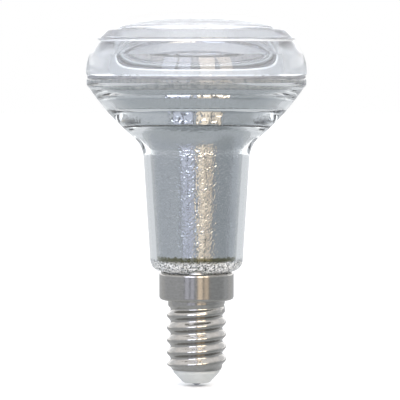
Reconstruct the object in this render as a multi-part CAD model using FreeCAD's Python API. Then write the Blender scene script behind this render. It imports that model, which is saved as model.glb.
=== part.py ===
import FreeCAD, Part
import math
import os

# Reflector lamp of 50 mm with a screw cap of 14 mm, modelled cap down and in millimetres.
# Z is the axis of the lamp, and the origin is the tip of the centre contact.
# From below upwards: screw cap, pressed glass body with a mirrored inside, lamp electronics in the neck,
# a disc of light-emitting diodes on a ledge in the throat, and a clear moulded lens glued to the rim.

# Driving sizes of the screw cap.
TIP_HEIGHT = 0.35            # solder button on the centre contact
TIP_R = 1.2
CONTACT_R = 2.0              # brass plate of the centre contact
CONTACT_DISH = 0.22          # how far the plate bellies out
CONTACT_EDGE = 0.05          # gap that seats the plate on the insulator
EYELET_R = 0.95              # tube of the contact, outside
EYELET_BORE_R = 0.6
EYELET_LENGTH = 4.2
INSULATOR_NOSE_R = 3.05
INSULATOR_CONE_HEIGHT = 2.4
INSULATOR_BAND = 0.6         # straight edge between the cone and the shell
INSULATOR_PLUG_HEIGHT = 3.2  # the part hidden in the shell
INSULATOR_FIT = 0.05
CAP_SHEET = 0.3
LIP_R = 5.65                 # lower edge of the threaded shell
THREAD_HEIGHT = 15.5
THREAD_PITCH = 2.822
CREST_R = 6.78
ROOT_R = 5.92
FIRST_CREST = 0.97           # height of the lowest crest over the lip, on the left side
THREAD_RUN_IN = 1.2          # height over which the thread rises from the lip
CREST_END = 1.7              # the crests sink into the land this far below its upper edge
CREST_RUN_OUT = 1.3
GROOVE_END = 0.2             # and the grooves fill up this far below it
GROOVE_RUN_OUT = 1.5
LAND_R = 6.5                 # plain stretch over the thread
LAND_HEIGHT = 0.4
SKIRT_R = 8.5
SKIRT_HEIGHT = 6.3
SKIRT_CORNER = 0.8
RIM_ROLL = 0.65              # radius of the turned-in upper rim
RIM_LIP = 0.5                # how far the rim turns in

# The head: the lens gives its radius, and the glass, its mouth and the cavity follow with these steps and walls.
LENS_R = 25.0
RIM_SETBACK = 0.1            # the glass ends this far inside the edge of the lens
BEAD_STEP = 0.5              # from the cone out to the bead
MOUTH_WALL = 1.9
LENS_WALL = 5.2
BEAD_R = LENS_R - RIM_SETBACK
CONE_TOP_R = BEAD_R - BEAD_STEP
MOUTH_R = BEAD_R - MOUTH_WALL
CAVITY_R = LENS_R - LENS_WALL

# Driving sizes of the glass body.
STUB_GAP = 0.25              # cement between the glass stub and the skirt
STUB_LENGTH = 5.5
STUB_WALL = 1.25
SEAT_GAP = 0.2               # from the skirt's rim to the glass
NECK_R = 10.53
NECK_CORNER = 2.6
NECK_TAPER = 3.6             # degrees from the axis
NECK_LENGTH = 23.4           # straight flank of the neck
NECK_WALL = 1.5
NECK_FLOOR = 1.6
NECK_INNER_CORNER = 1.5
FLARE_R = 6.7                # from the neck into the cone
CONE_LOW_ANGLE = 50.0        # degrees from the axis
CONE_HEIGHT = 11.21
CONE_WALL = 2.1
BEAD_HEIGHT = 2.2
BEAD_CORNER = 0.7
BEAD_FILLET = 0.4
MOUTH_BORE = 0.6             # straight stretch under the mouth, for the spigot of the lens
MOUTH_CORNER = 0.3
THROAT_R = 8.6
THROAT_ANGLE = 60.0
LEDGE_HEIGHT = 8.3           # ledge over the top of the neck's flank
LEDGE_CORNER = 0.25
RECESS_R = 15.9
RECESS_DEPTH = 3.7
RECESS_DRAFT = 13.0
RECESS_EDGE = 0.4
STEP_RISE = 5.84             # steep step in the mirrored cone, over the ledge
STEP_HEIGHT = 0.9
STEP_DRAFT = 10.0
STEP_LEDGE = 0.4
STEP_EDGE = 0.1
NOTCH_R = 2.1                # arched notch for the neutral lead
NOTCH_RISE = 0.9             # top of the notch over the underside of the glass
GROOVE_WIDTH = 0.9
GROOVE_DEPTH = 0.5

# Driving sizes of the lens.
SEAL_HEIGHT = 0.25
SEAL_MARGIN = 0.3
LENS_CORNER = 0.8
LENS_BAND_HEIGHT = 0.9       # straight band over the bottom face
LENS_SIDE_R = 10.7           # the side curls in from the band ...
LENS_SIDE_LEAN = 22.9        # ... to this angle from the axis
UPPER_SIDE_HEIGHT = 3.15     # the upper side is straight
UPPER_SIDE_WIDTH = 2.16
CREASE_WIDTH = 0.4           # fine ledge between the side and the shoulder
CREASE_HEIGHT = 0.4
CREASE_EDGE = 0.08
SHOULDER_HEIGHT = 1.95       # chamfer of 45 degrees up to the deck
SHOULDER_CORNER = 0.6
DECK_WIDTH = 2.45            # from the chamfer in to the dome
DOME_HEIGHT = 3.15
CAVITY_CORNER = 0.5
LENS_THICKNESS = 6.0         # on the axis
SPIGOT_DEPTH = 0.75
SPIGOT_GAP = 0.15
SPIGOT_CORNER = 0.3

# Driving sizes of the electronics.
BOARD_R = 15.6
BOARD_THICKNESS = 1.2
GLUE_HEIGHT = 0.1
GLUE_SETBACK = 0.1
DIODE_COUNT = 8
DIODE_RING_R = 8.6
DIODE_LENGTH = 3.5
DIODE_WIDTH = 2.8
DIODE_HEIGHT = 0.7
DIODE_WINDOW = 2.1
DIODE_WINDOW_DEPTH = 0.3
SOCKET_LENGTH = 5.6
SOCKET_WIDTH = 3.6
SOCKET_HEIGHT = 2.8
PIN_PITCH = 2.54
PIN_SIDE = 0.6
PIN_HOLE_R = 0.6
HOUSING_GAP = 0.3
HOUSING_WALL = 0.7
RAIL_THICKNESS = 0.6
RAIL_REACH = 1.1
BOARD_FIT = 0.25
DRIVER_THICKNESS = 1.0
DRIVER_RISE = 3.0            # over the foot of the housing
DRIVER_REACH = 2.6           # the driver board is this much longer than the flank of the neck
TONGUE_WIDTH = 8.6
TONGUE_LENGTH = 12.5
COMPONENT_LIFT = 0.12        # solder under each component
BIG_CAN_R = 3.9              # the big can fills the length between the small one and the pin header
BIG_CAN_DROP = 4.0           # under the top of the driver board
CAN_GAP = 1.0
SMALL_CAN_R = 2.9
SMALL_CAN_HEIGHT = 8.5
SMALL_CAN_LIFT = 1.0         # over the foot of the driver board
DRUM_R = 3.5
DRUM_HEIGHT = 6.0
DRUM_FLANGE = 0.9
DRUM_HUB_R = 1.5
WINDING_GAP = 0.3
DRUM_DROP = 2.0              # axis of the drum under the middle of the driver board
BRIDGE_WIDTH = 4.7
BRIDGE_DEPTH = 2.5
BRIDGE_HEIGHT = 3.9
BRIDGE_LIFT = 1.5
CHIP_WIDTH = 4.9
CHIP_DEPTH = 1.5
CHIP_HEIGHT = 3.9
CHIP_DROP = 7.0              # lower end under the top of the driver board
OUTPUT_DIODE_WIDTH = 2.6
OUTPUT_DIODE_DEPTH = 2.2
OUTPUT_DIODE_HEIGHT = 4.5
OUTPUT_DIODE_X = -5.2
OUTPUT_DIODE_DROP = 7.5
CHIP_RESISTOR_COUNT = 4
CHIP_RESISTOR_WIDTH = 1.6
CHIP_RESISTOR_DEPTH = 0.55
CHIP_RESISTOR_HEIGHT = 3.2
CHIP_RESISTOR_X = 3.6
CHIP_RESISTOR_ROW = 2.1
CHIP_RESISTOR_RISE = 4.2
CHIP_RESISTOR_DROP = 8.0
HEADER_HEIGHT = 2.5
HEADER_DROP = 2.6
PIN_DROP = 3.4
PIN_END = 0.5                # how far the pins stay under the top of the socket
RESISTOR_R = 1.35
RESISTOR_LENGTH = 7.0
RESISTOR_CAP = 1.2
LEAD_R = 0.3
LEAD_BEND = 1.0
NEUTRAL_R = 0.17
NEUTRAL_BEND = 0.4
NEUTRAL_RISE = 3.0           # up the tongue of the driver board
LIVE_LAP = 2.5
SOLDER_LENGTH = 1.65
SOLDER_DEPTH = 0.8
SOLDER_HEIGHT = 0.8

EASE = 0.02                  # step that keeps the thread's end inside the land
TURN = 360.0
UP = FreeCAD.Vector(0, 0, 1)
ORIGIN = FreeCAD.Vector(0, 0, 0)

# Heights over the tip, added up from the sizes above.
Z_NOSE = TIP_HEIGHT + CONTACT_DISH + CONTACT_EDGE
Z_LIP = Z_NOSE + INSULATOR_CONE_HEIGHT + INSULATOR_BAND
Z_LAND = Z_LIP + THREAD_HEIGHT
Z_STEP = Z_LAND + LAND_HEIGHT
Z_RIM = Z_STEP + SKIRT_HEIGHT
Z_GLASS = Z_RIM + SEAT_GAP


def point(r, z):
    return FreeCAD.Vector(r, 0, z)


def line(start, end):
    return Part.LineSegment(point(*start), point(*end)).toShape()


def arc(start, middle, end):
    return Part.Arc(point(*start), point(*middle), point(*end)).toShape()


def bend(start, radius, angle_from, angle_to):
    """Middle and end of an arc that starts at a point and turns between two directions, in degrees from +Z."""
    side = 1 if angle_to > angle_from else -1
    a = math.radians(angle_from)
    places = []
    for b in (math.radians((angle_from + angle_to) / 2), math.radians(angle_to)):
        r = start[0] + side * radius * (math.cos(a) - math.cos(b))
        z = start[1] + side * radius * (math.sin(b) - math.sin(a))
        places.append((r, z))
    return places


def rounded(corners):
    """Straight edges through the corners (r, z) or (r, z, radius), rounded where a radius is given."""
    edges = []
    last = corners[0][:2]
    for before, corner, after in zip(corners, corners[1:], corners[2:]):
        if len(corner) == 3:
            into = unit(before, corner)
            out = unit(corner, after)
            turn = math.acos(max(-1.0, min(1.0, into[0] * out[0] + into[1] * out[1])))
            reach = corner[2] * math.tan(turn / 2)
            start = (corner[0] - into[0] * reach, corner[1] - into[1] * reach)
            end = (corner[0] + out[0] * reach, corner[1] + out[1] * reach)
            inwards = unit((0, 0), (out[0] - into[0], out[1] - into[1]))
            depth = corner[2] / math.cos(turn / 2) - corner[2]
            middle = (corner[0] + inwards[0] * depth, corner[1] + inwards[1] * depth)
            edges.append(line(last, start))
            edges.append(arc(start, middle, end))
            last = end
        else:
            edges.append(line(last, corner[:2]))
            last = corner[:2]
    edges.append(line(last, corners[-1][:2]))
    return edges


def unit(start, end):
    dr = end[0] - start[0]
    dz = end[1] - start[1]
    length = math.hypot(dr, dz)
    return (dr / length, dz / length)


def revolved(edges):
    face = Part.Face(Part.Wire(edges))
    return face.revolve(ORIGIN, UP, TURN)


def turned(corners):
    """A solid of revolution from a closed run of corners that ends where it starts."""
    return revolved(rounded(corners))


def ring(r_inner, r_outer, z_low, z_high):
    return turned([(r_inner, z_low), (r_outer, z_low), (r_outer, z_high), (r_inner, z_high), (r_inner, z_low)])


def block(x_size, y_size, z_size, x_middle, y_middle, z_low):
    corner = FreeCAD.Vector(x_middle - x_size / 2, y_middle - y_size / 2, z_low)
    return Part.makeBox(x_size, y_size, z_size, corner)


def rod(radius, length, x, y, z_low):
    return Part.makeCylinder(radius, length, FreeCAD.Vector(x, y, z_low), UP)


def around(shape, count):
    copies = []
    for i in range(count):
        copy = shape.copy()
        copy.rotate(ORIGIN, UP, TURN * i / count)
        copies.append(copy)
    return copies


# Screw cap.

def contact_dish(r, drop):
    """Arc of the contact plate's belly, from its edge to the given radius; drop moves it down."""
    z_edge = Z_NOSE - CONTACT_EDGE - drop
    middle = (r + CONTACT_R) / 2
    z_middle = z_edge - CONTACT_DISH * (1 - (middle / CONTACT_R) ** 2)
    z_inner = z_edge - CONTACT_DISH * (1 - (r / CONTACT_R) ** 2)
    return (CONTACT_R, z_edge), (middle, z_middle), (r, z_inner)


def make_centre_contact():
    """Bellied brass plate with an eyelet that runs up through the insulator."""
    edge, middle, inner = contact_dish(EYELET_BORE_R, 0.0)
    top = Z_NOSE + EYELET_LENGTH
    return revolved([
        arc(inner, middle, edge),
        line(edge, (CONTACT_R, Z_NOSE)),
        line((CONTACT_R, Z_NOSE), (EYELET_R, Z_NOSE)),
        line((EYELET_R, Z_NOSE), (EYELET_R, top)),
        line((EYELET_R, top), (EYELET_BORE_R, top)),
        line((EYELET_BORE_R, top), inner),
    ])


def make_centre_solder():
    """Solder button that closes the eyelet: a shallow dome below the plate and a plug in the bore."""
    edge, middle, bore = contact_dish(EYELET_BORE_R, 0.0)
    z_edge = Z_NOSE - CONTACT_EDGE - CONTACT_DISH * (1 - (TIP_R / CONTACT_R) ** 2)
    between = (TIP_R + EYELET_BORE_R) / 2
    z_between = Z_NOSE - CONTACT_EDGE - CONTACT_DISH * (1 - (between / CONTACT_R) ** 2)
    dome_r = (TIP_R ** 2 + z_edge ** 2) / (2 * z_edge)
    half = math.asin(TIP_R / dome_r) / 2
    dome_middle = (dome_r * math.sin(half), dome_r * (1 - math.cos(half)))
    plug_top = Z_NOSE + EYELET_LENGTH / 3
    return revolved([
        arc((0, 0), dome_middle, (TIP_R, z_edge)),
        arc((TIP_R, z_edge), (between, z_between), bore),
        line(bore, (EYELET_BORE_R, plug_top)),
        line((EYELET_BORE_R, plug_top), (0, plug_top)),
        line((0, plug_top), (0, 0)),
    ])


def make_cap_insulator():
    """White cone between the contact and the shell, with a plug that fills the end of the shell."""
    band_r = LIP_R - CAP_SHEET - INSULATOR_FIT
    top = Z_LIP + INSULATOR_PLUG_HEIGHT
    return turned([
        (EYELET_R, Z_NOSE),
        (INSULATOR_NOSE_R, Z_NOSE, 0.4),
        (band_r, Z_NOSE + INSULATOR_CONE_HEIGHT, 0.5),
        (band_r, top, 0.4),
        (EYELET_R, top),
        (EYELET_R, Z_NOSE),
    ])


def smooth(share):
    t = max(0.0, min(1.0, share))
    return t * t * (3 - 2 * t)


def thread_radius(angle, z, gain):
    """Outer radius of the threaded shell; gain makes up for what the spline's poles round off."""
    middle = (CREST_R + ROOT_R) / 2
    swing = gain * (CREST_R - ROOT_R) / 2
    turns = (z - Z_LIP - FIRST_CREST) / THREAD_PITCH - (angle - math.pi) / (2 * math.pi)
    thread = middle + swing * math.cos(2 * math.pi * turns)
    radius = LIP_R + (thread - LIP_R) * smooth((z - Z_LIP) / THREAD_RUN_IN)
    if radius > LAND_R:
        keep = smooth((Z_LAND - CREST_END - z) / CREST_RUN_OUT)
    else:
        keep = smooth((Z_LAND - GROOVE_END - z) / GROOVE_RUN_OUT)
    return LAND_R + (radius - LAND_R) * keep


def thread_face(inset):
    """The rolled thread as one periodic spline surface, moved in by inset for the inner side."""
    columns = 32
    rows_per_pitch = 12
    spans = int(round(THREAD_HEIGHT / THREAD_PITCH * rows_per_pitch))
    knots = [i / spans for i in range(spans + 1)]
    padded = [0.0] * 3 + knots + [1.0] * 3
    heights = [Z_LIP + THREAD_HEIGHT * sum(padded[i + 1:i + 4]) / 3 for i in range(spans + 3)]
    round_gain = 1 / (1 - (1 - math.cos(2 * math.pi / columns)) / 3)
    swing_gain = 1 / (1 - (1 - math.cos(2 * math.pi / rows_per_pitch)) / 3)
    poles = []
    for column in range(columns):
        angle = 2 * math.pi * column / columns
        row = []
        for z in heights:
            r = (thread_radius(angle, z, swing_gain) - inset) * round_gain
            row.append(FreeCAD.Vector(r * math.cos(angle), r * math.sin(angle), z))
        poles.append(row)
    surface = Part.BSplineSurface()
    surface.buildFromPolesMultsKnots(
        poles, [1] * (columns + 1), [4] + [1] * (spans - 1) + [4],
        [i / columns for i in range(columns + 1)], knots, True, False, 3, 3)
    return surface.toShape()


def end_edge(face, z):
    """The closed edge of a tube-like face at one height."""
    level = [e for e in face.Edges if abs(e.BoundBox.ZMin - z) < 1e-6 and abs(e.BoundBox.ZMax - z) < 1e-6]
    return level[0]


def make_threaded_tube():
    outer = thread_face(0.0)
    inner = thread_face(CAP_SHEET)
    faces = [outer, inner]
    for z in (Z_LIP, Z_LAND):
        rims = [Part.Wire([end_edge(face, z)]) for face in (outer, inner)]
        faces.append(Part.makeFace(rims, "Part::FaceMakerBullseye"))
    shell = Part.makeShell(faces)
    shell.sewShape()
    solid = Part.makeSolid(Part.Shell(shell.Faces))
    if solid.Volume < 0:
        solid.reverse()
    return solid


def make_cap_shell():
    """Nickel-plated shell: skirt with a turned-in rim, step, plain land and rolled thread, all one sheet."""
    land_out = LAND_R + EASE
    land_in = LAND_R - CAP_SHEET - EASE
    mouth = SKIRT_R - CAP_SHEET - RIM_LIP
    skirt = turned([
        (land_in, Z_LAND),
        (land_out, Z_LAND),
        (land_out, Z_STEP, 0.3),
        (SKIRT_R, Z_STEP, SKIRT_CORNER),
        (SKIRT_R, Z_RIM, RIM_ROLL),
        (mouth, Z_RIM),
        (mouth, Z_RIM - CAP_SHEET),
        (SKIRT_R - CAP_SHEET, Z_RIM - CAP_SHEET, RIM_ROLL - CAP_SHEET),
        (SKIRT_R - CAP_SHEET, Z_STEP + CAP_SHEET, SKIRT_CORNER - CAP_SHEET),
        (land_in, Z_STEP + CAP_SHEET, 0.3 + CAP_SHEET),
        (land_in, Z_LAND),
    ])
    return skirt.fuse(make_threaded_tube())


# Glass body.

STUB_R = SKIRT_R - CAP_SHEET - RIM_LIP - STUB_GAP
STUB_BORE_R = STUB_R - STUB_WALL
Z_STUB = Z_GLASS - STUB_LENGTH
Z_FLOOR = Z_GLASS + NECK_FLOOR
TAPER = math.tan(math.radians(NECK_TAPER))

# Outside of the glass, from the underside of the neck to the bead.
UNDERSIDE = (NECK_R - NECK_CORNER, Z_GLASS)
CORNER_MIDDLE, NECK_LOW = bend(UNDERSIDE, NECK_CORNER, 90.0, NECK_TAPER)
NECK_HIGH = (NECK_LOW[0] + NECK_LENGTH * TAPER, NECK_LOW[1] + NECK_LENGTH)
FLARE_MIDDLE, CONE_LOW = bend(NECK_HIGH, FLARE_R, NECK_TAPER, CONE_LOW_ANGLE)

# The cone goes on from the flare in one arc: it leaves in the direction of the flare and ends at the bead.
Z_BEAD = CONE_LOW[1] + CONE_HEIGHT
CHORD = (CONE_TOP_R - CONE_LOW[0], CONE_HEIGHT)
CHORD_ANGLE = math.degrees(math.atan2(*CHORD))
CONE_HIGH_ANGLE = 2 * CHORD_ANGLE - CONE_LOW_ANGLE
CONE_R = math.hypot(*CHORD) / 2 / math.sin(math.radians(CONE_LOW_ANGLE - CHORD_ANGLE))
Z_MOUTH = Z_BEAD + BEAD_HEIGHT

# Inside of the glass. The wall of the cone has one thickness, so both sides share a centre.
Z_LEDGE = NECK_HIGH[1] + LEDGE_HEIGHT
Z_SHOULDER = Z_LEDGE + RECESS_DEPTH
RECESS_TOP_R = RECESS_R + RECESS_DEPTH * math.tan(math.radians(RECESS_DRAFT))
Z_CONE_STEP = Z_LEDGE + STEP_RISE


def neck_inner_r(z):
    return NECK_LOW[0] - NECK_WALL + (z - NECK_LOW[1]) * TAPER


def cone_point(angle, inset):
    """A point of the cone, inset from its outside, where its tangent leans by an angle in degrees."""
    a = math.radians(CONE_LOW_ANGLE)
    b = math.radians(angle)
    r_centre = CONE_LOW[0] - CONE_R * math.cos(a)
    z_centre = CONE_LOW[1] + CONE_R * math.sin(a)
    return (r_centre + (CONE_R - inset) * math.cos(b), z_centre - (CONE_R - inset) * math.sin(b))


def lean_at(z):
    """The angle at which the inside of the cone leans at a height."""
    z_centre = CONE_LOW[1] + CONE_R * math.sin(math.radians(CONE_LOW_ANGLE))
    return math.degrees(math.asin((z_centre - z) / (CONE_R - CONE_WALL)))


Z_THROAT = Z_LEDGE - THROAT_R * (math.sin(math.radians(THROAT_ANGLE)) - math.sin(math.radians(NECK_TAPER)))
THROAT_LOW = (neck_inner_r(Z_THROAT), Z_THROAT)
THROAT_MIDDLE, THROAT_HIGH = bend(THROAT_LOW, THROAT_R, NECK_TAPER, THROAT_ANGLE)


def make_glass_outline():
    cone_high = cone_point(CONE_HIGH_ANGLE, 0.0)
    cone_middle = cone_point((CONE_LOW_ANGLE + CONE_HIGH_ANGLE) / 2, 0.0)
    foot_lean = lean_at(Z_SHOULDER)
    step_lean = lean_at(Z_CONE_STEP)
    cone_foot = cone_point(foot_lean, CONE_WALL)
    step_low = cone_point(step_lean, CONE_WALL)
    step_r = step_low[0] + STEP_HEIGHT * math.tan(math.radians(STEP_DRAFT))
    z_step_high = Z_CONE_STEP + STEP_HEIGHT
    z_corner = Z_FLOOR + NECK_INNER_CORNER * (1 - math.sin(math.radians(NECK_TAPER)))
    floor_r = neck_inner_r(z_corner) - NECK_INNER_CORNER * math.cos(math.radians(NECK_TAPER))
    floor_middle, floor_end = bend((floor_r, Z_FLOOR), NECK_INNER_CORNER, 90.0, NECK_TAPER)
    edges = [
        arc(UNDERSIDE, CORNER_MIDDLE, NECK_LOW),
        line(NECK_LOW, NECK_HIGH),
        arc(NECK_HIGH, FLARE_MIDDLE, CONE_LOW),
        arc(CONE_LOW, cone_middle, cone_high),
    ]
    edges += rounded([
        cone_high,
        (BEAD_R, Z_BEAD + BEAD_STEP, BEAD_FILLET),
        (BEAD_R, Z_MOUTH, BEAD_CORNER),
        (MOUTH_R, Z_MOUTH, MOUTH_CORNER),
        (MOUTH_R, Z_MOUTH - MOUTH_BORE),
        (step_r + STEP_LEDGE, z_step_high + STEP_EDGE),
        (step_r, z_step_high, STEP_EDGE),
        step_low,
    ])
    edges.append(arc(step_low, cone_point((foot_lean + step_lean) / 2, CONE_WALL), cone_foot))
    edges += rounded([
        cone_foot,
        (RECESS_TOP_R, Z_SHOULDER, RECESS_EDGE),
        (RECESS_R, Z_LEDGE, LEDGE_CORNER),
        THROAT_HIGH,
    ])
    edges += [
        arc(THROAT_HIGH, THROAT_MIDDLE, THROAT_LOW),
        line(THROAT_LOW, floor_end),
        arc(floor_end, floor_middle, (floor_r, Z_FLOOR)),
    ]
    edges += rounded([
        (floor_r, Z_FLOOR),
        (STUB_BORE_R, Z_FLOOR, 0.5),
        (STUB_BORE_R, Z_STUB, 0.3),
        (STUB_R, Z_STUB, 0.3),
        (STUB_R, Z_GLASS),
        UNDERSIDE,
    ])
    return edges


def make_groove():
    """Groove down the front of the stub for the neutral lead."""
    return block(GROOVE_WIDTH, GROOVE_DEPTH * 2, STUB_LENGTH, 0, -STUB_R, Z_STUB)


def make_notch(radius):
    """Arch through the lower edge of the neck, over the end of the groove."""
    z_axis = Z_GLASS + NOTCH_RISE - radius
    start = FreeCAD.Vector(0, -(STUB_R - GROOVE_DEPTH), z_axis)
    return Part.makeCylinder(radius, NECK_R, start, FreeCAD.Vector(0, -1, 0))


def make_glass_reflector():
    """Pressed glass body, mirrored inside: stub, neck, flare, cone, bead, and the ledge for the diode board."""
    body = revolved(make_glass_outline())
    return body.cut(make_groove()).cut(make_notch(NOTCH_R))


def make_cap_cement():
    """Cement that fills the skirt round the glass stub."""
    play = 0.01
    skirt_in = SKIRT_R - CAP_SHEET - play
    cement = turned([
        (STUB_R + play, Z_STUB + 0.3),
        (skirt_in, Z_STUB + 0.3),
        (skirt_in, Z_RIM - CAP_SHEET - play, RIM_ROLL - CAP_SHEET),
        (STUB_R + play, Z_RIM - CAP_SHEET - play),
        (STUB_R + play, Z_STUB + 0.3),
    ])
    return cement.cut(make_groove())


# Lens.

Z_LENS = Z_MOUTH + SEAL_HEIGHT


def make_lens():
    """Clear moulded lens: a thick wall with a spigot in the glass, a creased shoulder and a raised dome."""
    side_start = (LENS_R, Z_LENS + LENS_BAND_HEIGHT)
    side_middle, side_end = bend(side_start, LENS_SIDE_R, 0.0, -LENS_SIDE_LEAN)
    crease = (side_end[0] - UPPER_SIDE_WIDTH, side_end[1] + UPPER_SIDE_HEIGHT)
    shoulder = (crease[0] + CREASE_WIDTH, crease[1] + CREASE_HEIGHT)
    z_deck = shoulder[1] + SHOULDER_HEIGHT
    deck_r = shoulder[0] - SHOULDER_HEIGHT
    dome_r = deck_r - DECK_WIDTH
    top = z_deck + DOME_HEIGHT
    dome = Part.Ellipse(point(dome_r, z_deck), point(0, top), point(0, z_deck))
    spigot_r = MOUTH_R - SPIGOT_GAP
    z_spigot = Z_LENS - SPIGOT_DEPTH
    ceiling = top - LENS_THICKNESS
    edges = rounded([
        (spigot_r, Z_LENS),
        (LENS_R, Z_LENS, LENS_CORNER),
        side_start,
    ])
    edges.append(arc(side_start, side_middle, side_end))
    edges += rounded([
        side_end,
        (*crease, CREASE_EDGE),
        (*shoulder, CREASE_EDGE),
        (deck_r, z_deck, SHOULDER_CORNER),
        (dome_r, z_deck),
    ])
    edges.append(dome.toBSpline(0, math.pi / 2).toShape())
    edges += rounded([
        (0, top),
        (0, ceiling),
        (CAVITY_R, ceiling, CAVITY_CORNER),
        (CAVITY_R, z_spigot),
        (spigot_r, z_spigot, SPIGOT_CORNER),
        (spigot_r, Z_LENS),
    ])
    return revolved(edges)


def make_lens_seal():
    """Clear silicone between the lens and the rim of the glass."""
    return ring(MOUTH_R + SEAL_MARGIN, BEAD_R - BEAD_CORNER, Z_MOUTH, Z_LENS)


# Diode board.

Z_BOARD = Z_LEDGE + GLUE_HEIGHT
Z_BOARD_TOP = Z_BOARD + BOARD_THICKNESS
PIN_Y = -1.5


def make_board_glue():
    return ring(THROAT_HIGH[0], BOARD_R - GLUE_SETBACK, Z_LEDGE, Z_BOARD)


def make_diode_board():
    """Aluminium disc with two holes for the pins from the driver."""
    disc = rod(BOARD_R, BOARD_THICKNESS, 0, 0, Z_BOARD)
    for side in (-1, 1):
        disc = disc.cut(rod(PIN_HOLE_R, BOARD_THICKNESS, side * PIN_PITCH / 2, PIN_Y, Z_BOARD))
    return disc


def make_diode_housings():
    body = block(DIODE_WIDTH, DIODE_LENGTH, DIODE_HEIGHT, DIODE_RING_R, 0, Z_BOARD_TOP)
    body = body.cut(make_window())
    return Part.makeCompound(around(body, DIODE_COUNT))


def make_window():
    z_window = Z_BOARD_TOP + DIODE_HEIGHT - DIODE_WINDOW_DEPTH
    return block(DIODE_WINDOW, DIODE_WINDOW * 1.3, DIODE_WINDOW_DEPTH, DIODE_RING_R, 0, z_window)


def make_diode_phosphors():
    return Part.makeCompound(around(make_window(), DIODE_COUNT))


def make_board_socket():
    """Two-way socket on the diode board that takes the driver's pins."""
    body = block(SOCKET_LENGTH, SOCKET_WIDTH, SOCKET_HEIGHT, 0, PIN_Y, Z_BOARD_TOP)
    for side in (-1, 1):
        body = body.cut(block(PIN_SIDE + 0.1, PIN_SIDE + 0.1, SOCKET_HEIGHT, side * PIN_PITCH / 2, PIN_Y, Z_BOARD_TOP))
    return body


# Driver in the neck.

Z_HOUSING = Z_FLOOR + HOUSING_GAP
Z_HOUSING_TOP = Z_THROAT
Z_DRIVER = Z_HOUSING + DRIVER_RISE
DRIVER_LENGTH = NECK_LENGTH + DRIVER_REACH
Z_DRIVER_TOP = Z_DRIVER + DRIVER_LENGTH


def housing_inner_r(z):
    return neck_inner_r(z) - HOUSING_GAP - HOUSING_WALL


DRIVER_HALF = housing_inner_r(Z_DRIVER) - BOARD_FIT
FACE_Y = DRIVER_THICKNESS / 2


def make_driver_housing():
    """Moulded insulating tube that lines the neck, with rails for the edges of the driver board."""
    low = Z_HOUSING + NECK_INNER_CORNER
    outer_low = neck_inner_r(low) - HOUSING_GAP
    foot_r = housing_inner_r(Z_HOUSING) - NECK_INNER_CORNER / 2
    inner_space = Part.makeCone(housing_inner_r(low), housing_inner_r(Z_HOUSING_TOP), Z_HOUSING_TOP - low,
                                point(0, low), UP)
    tube = turned([
        (foot_r - HOUSING_WALL, Z_HOUSING),
        (foot_r, Z_HOUSING),
        (outer_low, low),
        (neck_inner_r(Z_HOUSING_TOP) - HOUSING_GAP, Z_HOUSING_TOP),
        (housing_inner_r(Z_HOUSING_TOP), Z_HOUSING_TOP),
        (housing_inner_r(low), low),
        (foot_r - HOUSING_WALL, Z_HOUSING),
    ])
    rail_low = Z_DRIVER
    rail_height = Z_HOUSING_TOP - rail_low
    for x_side in (-1, 1):
        for y_side in (-1, 1):
            inner_x = DRIVER_HALF - RAIL_REACH
            outer_x = neck_inner_r(Z_HOUSING_TOP)
            y_rail = y_side * (FACE_Y + BOARD_FIT / 2 + RAIL_THICKNESS / 2)
            rail = block(outer_x - inner_x, RAIL_THICKNESS, rail_height, x_side * (inner_x + outer_x) / 2, y_rail,
                         rail_low)
            tube = tube.fuse(rail.common(inner_space))
    return tube


def make_driver_board():
    """Upright circuit board with a narrow tongue that reaches down through the stub."""
    body = block(2 * DRIVER_HALF, DRIVER_THICKNESS, DRIVER_LENGTH, 0, 0, Z_DRIVER)
    tongue = block(TONGUE_WIDTH, DRIVER_THICKNESS, TONGUE_LENGTH, 0, 0, Z_DRIVER - TONGUE_LENGTH)
    return body.fuse(tongue).removeSplitter()


def can(radius, height, y, z_low):
    """Electrolytic can: rolled edges, and the groove near its foot."""
    groove = radius * 0.12
    z_groove = z_low + height * 0.14
    shape = turned([
        (0, z_low),
        (radius, z_low, groove),
        (radius, z_groove - groove),
        (radius - groove, z_groove),
        (radius, z_groove + groove),
        (radius, z_low + height, groove),
        (0, z_low + height),
        (0, z_low),
    ])
    shape.translate(FreeCAD.Vector(0, y, 0))
    return shape


def make_input_capacitor():
    z_low = Z_DRIVER + SMALL_CAN_LIFT + SMALL_CAN_HEIGHT + CAN_GAP
    z_high = Z_DRIVER_TOP - BIG_CAN_DROP
    return can(BIG_CAN_R, z_high - z_low, -(FACE_Y + COMPONENT_LIFT + BIG_CAN_R), z_low)


def make_output_capacitor():
    return can(SMALL_CAN_R, SMALL_CAN_HEIGHT, -(FACE_Y + COMPONENT_LIFT + SMALL_CAN_R), Z_DRIVER + SMALL_CAN_LIFT)


def make_choke_core():
    drum = turned([
        (0, 0),
        (DRUM_R, 0),
        (DRUM_R, DRUM_FLANGE),
        (DRUM_HUB_R, DRUM_FLANGE),
        (DRUM_HUB_R, DRUM_HEIGHT - DRUM_FLANGE),
        (DRUM_R, DRUM_HEIGHT - DRUM_FLANGE),
        (DRUM_R, DRUM_HEIGHT),
        (0, DRUM_HEIGHT),
        (0, 0),
    ])
    return on_back(drum)


def make_choke_winding():
    wire = ring(DRUM_HUB_R, DRUM_R - WINDING_GAP, DRUM_FLANGE, DRUM_HEIGHT - DRUM_FLANGE)
    return on_back(wire)


def on_back(shape):
    """Turns a shape that stands on Z = 0 on to the back of the driver board."""
    shape.rotate(ORIGIN, FreeCAD.Vector(1, 0, 0), -90)
    shape.translate(FreeCAD.Vector(0, FACE_Y + COMPONENT_LIFT, Z_DRIVER + DRIVER_LENGTH / 2 - DRUM_DROP))
    return shape


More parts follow.
